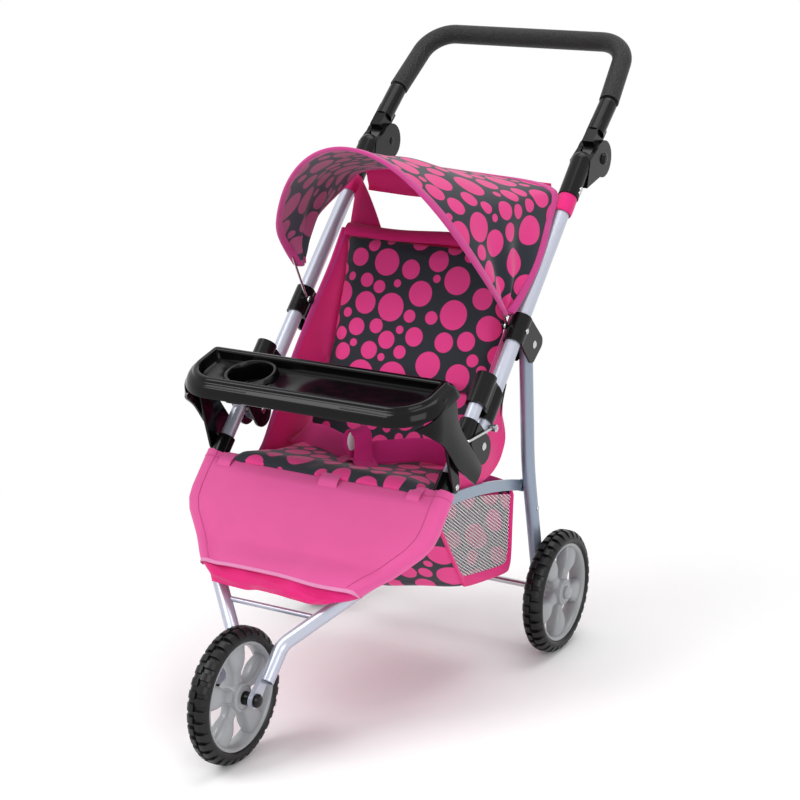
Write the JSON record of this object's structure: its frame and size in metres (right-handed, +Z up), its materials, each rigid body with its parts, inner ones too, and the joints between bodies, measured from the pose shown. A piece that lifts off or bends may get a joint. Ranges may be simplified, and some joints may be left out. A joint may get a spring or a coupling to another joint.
{
  "type": "doll stroller",
  "caption": "Folding three-wheel doll stroller with a dotted canopy and seat, play tray with cup holder, foam-grip handle and mesh storage basket.",
  "frame": {"origin": "on the floor, below the middle of the stroller's outline", "axes": "+Z up; the front wheel is towards -Y and the handle towards +Y; +X is the doll's left"},
  "size_m": [0.3666, 0.7622, 0.7208],
  "materials": {
    "silver_tube": "satin powder coat",
    "blue_grey_tube": "satin powder coat",
    "bright_steel": "zinc plated",
    "black_plastic": "moulded, semi-gloss",
    "black_tube": "satin",
    "grip_foam": "textured foam",
    "grey_rim": "moulded, satin",
    "tyre_rubber": "matte with lugs",
    "dotted_cloth": "woven, printed with pink dots on slate",
    "hot_pink_cloth": "woven",
    "light_pink_cloth": "woven, stitched",
    "mesh_cloth": "open mesh with a printed floor"
  },
  "bodies": {
    "lower_frame": {"lower_tube_left": "silver_tube", "lower_tube_right": "silver_tube", "fork_brace": "silver_tube", "front_axle": "bright_steel", "front_spacers": "black_plastic", "front_axle_caps": "black_plastic", "fold_bracket_left": "black_plastic", "fold_bracket_right": "black_plastic", "fold_pivot_pins": "bright_steel", "tray_bracket_left": "black_plastic", "tray_bracket_right": "black_plastic", "tray_rivets": "bright_steel", "tray": "black_plastic", "seat_base": "dotted_cloth", "harness": "hot_pink_cloth", "leg_panel": "light_pink_cloth", "seat_crease": "dotted_cloth"},
    "upper_frame": {"upper_tube_left": "silver_tube", "upper_tube_right": "silver_tube", "leg_clamp_left": "black_plastic", "leg_clamp_right": "black_plastic", "clamp_rivets": "bright_steel", "leg_pivot_rivets": "bright_steel", "canopy_knobs": "black_plastic", "latch_bolts": "bright_steel", "handle_socket_left": "black_plastic", "handle_socket_right": "black_plastic", "handle_pivot_pins": "black_plastic", "seat_back": "dotted_cloth", "seat_straps": "hot_pink_cloth", "seat_side_left": "hot_pink_cloth", "seat_side_right": "hot_pink_cloth", "canopy_cover": "dotted_cloth"},
    "canopy_frame": {"canopy_bow": "bright_steel"},
    "handle": {"handle_hub_left": "black_plastic", "handle_hub_right": "black_plastic", "handle_bar": "black_tube", "foam_grip": "grip_foam"},
    "rear_legs": {"rear_leg_left": "blue_grey_tube", "rear_leg_right": "blue_grey_tube", "rear_axle": "bright_steel", "rear_washers": "black_plastic", "rear_hub_caps": "black_plastic"},
    "side_links": {"side_link_left": "blue_grey_tube", "side_link_right": "blue_grey_tube", "link_rivets": "bright_steel", "basket": "mesh_cloth"},
    "lock_left": {"lock_sleeve_left": "black_plastic"},
    "lock_right": {"lock_sleeve_right": "black_plastic"},
    "latch_left": {"latch_wire_left": "bright_steel"},
    "latch_right": {"latch_wire_right": "bright_steel"},
    "front_wheel": {"front_tyre": "tyre_rubber", "front_rim": "grey_rim"},
    "rear_wheel_left": {"rear_tyre_left": "tyre_rubber", "rear_rim_left": "grey_rim"},
    "rear_wheel_right": {"rear_tyre_right": "tyre_rubber", "rear_rim_right": "grey_rim"}
  },
  "joints": [
    {"name": "fold", "type": "hinge", "parent": "lower_frame", "child": "upper_frame", "pos_m": [0, -0.0426, 0.305], "axis": [1, 0, 0], "range_deg": [-80, 0], "deforming": ["seat_side_left", "seat_side_right", "seat_crease"]},
    {"name": "rear_leg_swing", "type": "hinge", "parent": "upper_frame", "child": "rear_legs", "pos_m": [0, 0.08141, 0.39349], "axis": [1, 0, 0], "range_deg": [0, 44.6]},
    {"name": "side_link_swing", "type": "hinge", "parent": "lower_frame", "child": "side_links", "pos_m": [0, -0.13375, 0.25082], "axis": [1, 0, 0], "range_deg": [-53, 0]},
    {"name": "handle_fold", "type": "hinge", "parent": "upper_frame", "child": "handle", "pos_m": [0, 0.25521, 0.58354], "axis": [1, 0, 0], "range_deg": [-170, 0]},
    {"name": "canopy_fold", "type": "hinge", "parent": "upper_frame", "child": "canopy_frame", "pos_m": [0, 0.05824, 0.41746], "axis": [1, 0, 0], "range_deg": [-55, 0], "deforming": ["canopy_cover"]},
    {"name": "lock_slide_left", "type": "slide", "parent": "upper_frame", "child": "lock_left", "axis": [0, 0.6871, 0.7266], "range_m": [0, 0.03]},
    {"name": "lock_slide_right", "type": "slide", "parent": "upper_frame", "child": "lock_right", "axis": [0, 0.6871, 0.7266], "range_m": [0, 0.03]},
    {"name": "latch_swing_left", "type": "hinge", "parent": "upper_frame", "child": "latch_left", "pos_m": [0.146, -0.02611, 0.32244], "axis": [1, 0, 0], "range_deg": [-71.3, 0]},
    {"name": "latch_swing_right", "type": "hinge", "parent": "upper_frame", "child": "latch_right", "pos_m": [-0.146, -0.02611, 0.32244], "axis": [1, 0, 0], "range_deg": [-71.3, 0]},
    {"name": "front_wheel_spin", "type": "hinge", "parent": "lower_frame", "child": "front_wheel", "pos_m": [0, -0.3061, 0.075], "axis": [1, 0, 0], "continuous": true},
    {"name": "rear_wheel_spin_left", "type": "hinge", "parent": "rear_legs", "child": "rear_wheel_left", "pos_m": [0.165, 0.1389, 0.075], "axis": [1, 0, 0], "continuous": true},
    {"name": "rear_wheel_spin_right", "type": "hinge", "parent": "rear_legs", "child": "rear_wheel_right", "pos_m": [-0.165, 0.1389, 0.075], "axis": [1, 0, 0], "continuous": true}
  ],
  "couplings": [
    {"joint": "rear_leg_swing", "follows": "fold", "ratio": -0.556},
    {"joint": "side_link_swing", "follows": "fold", "ratio": 0.662},
    {"joint": "latch_swing_left", "follows": "fold", "ratio": 0.89},
    {"joint": "latch_swing_right", "follows": "fold", "ratio": 0.89}
  ]
}
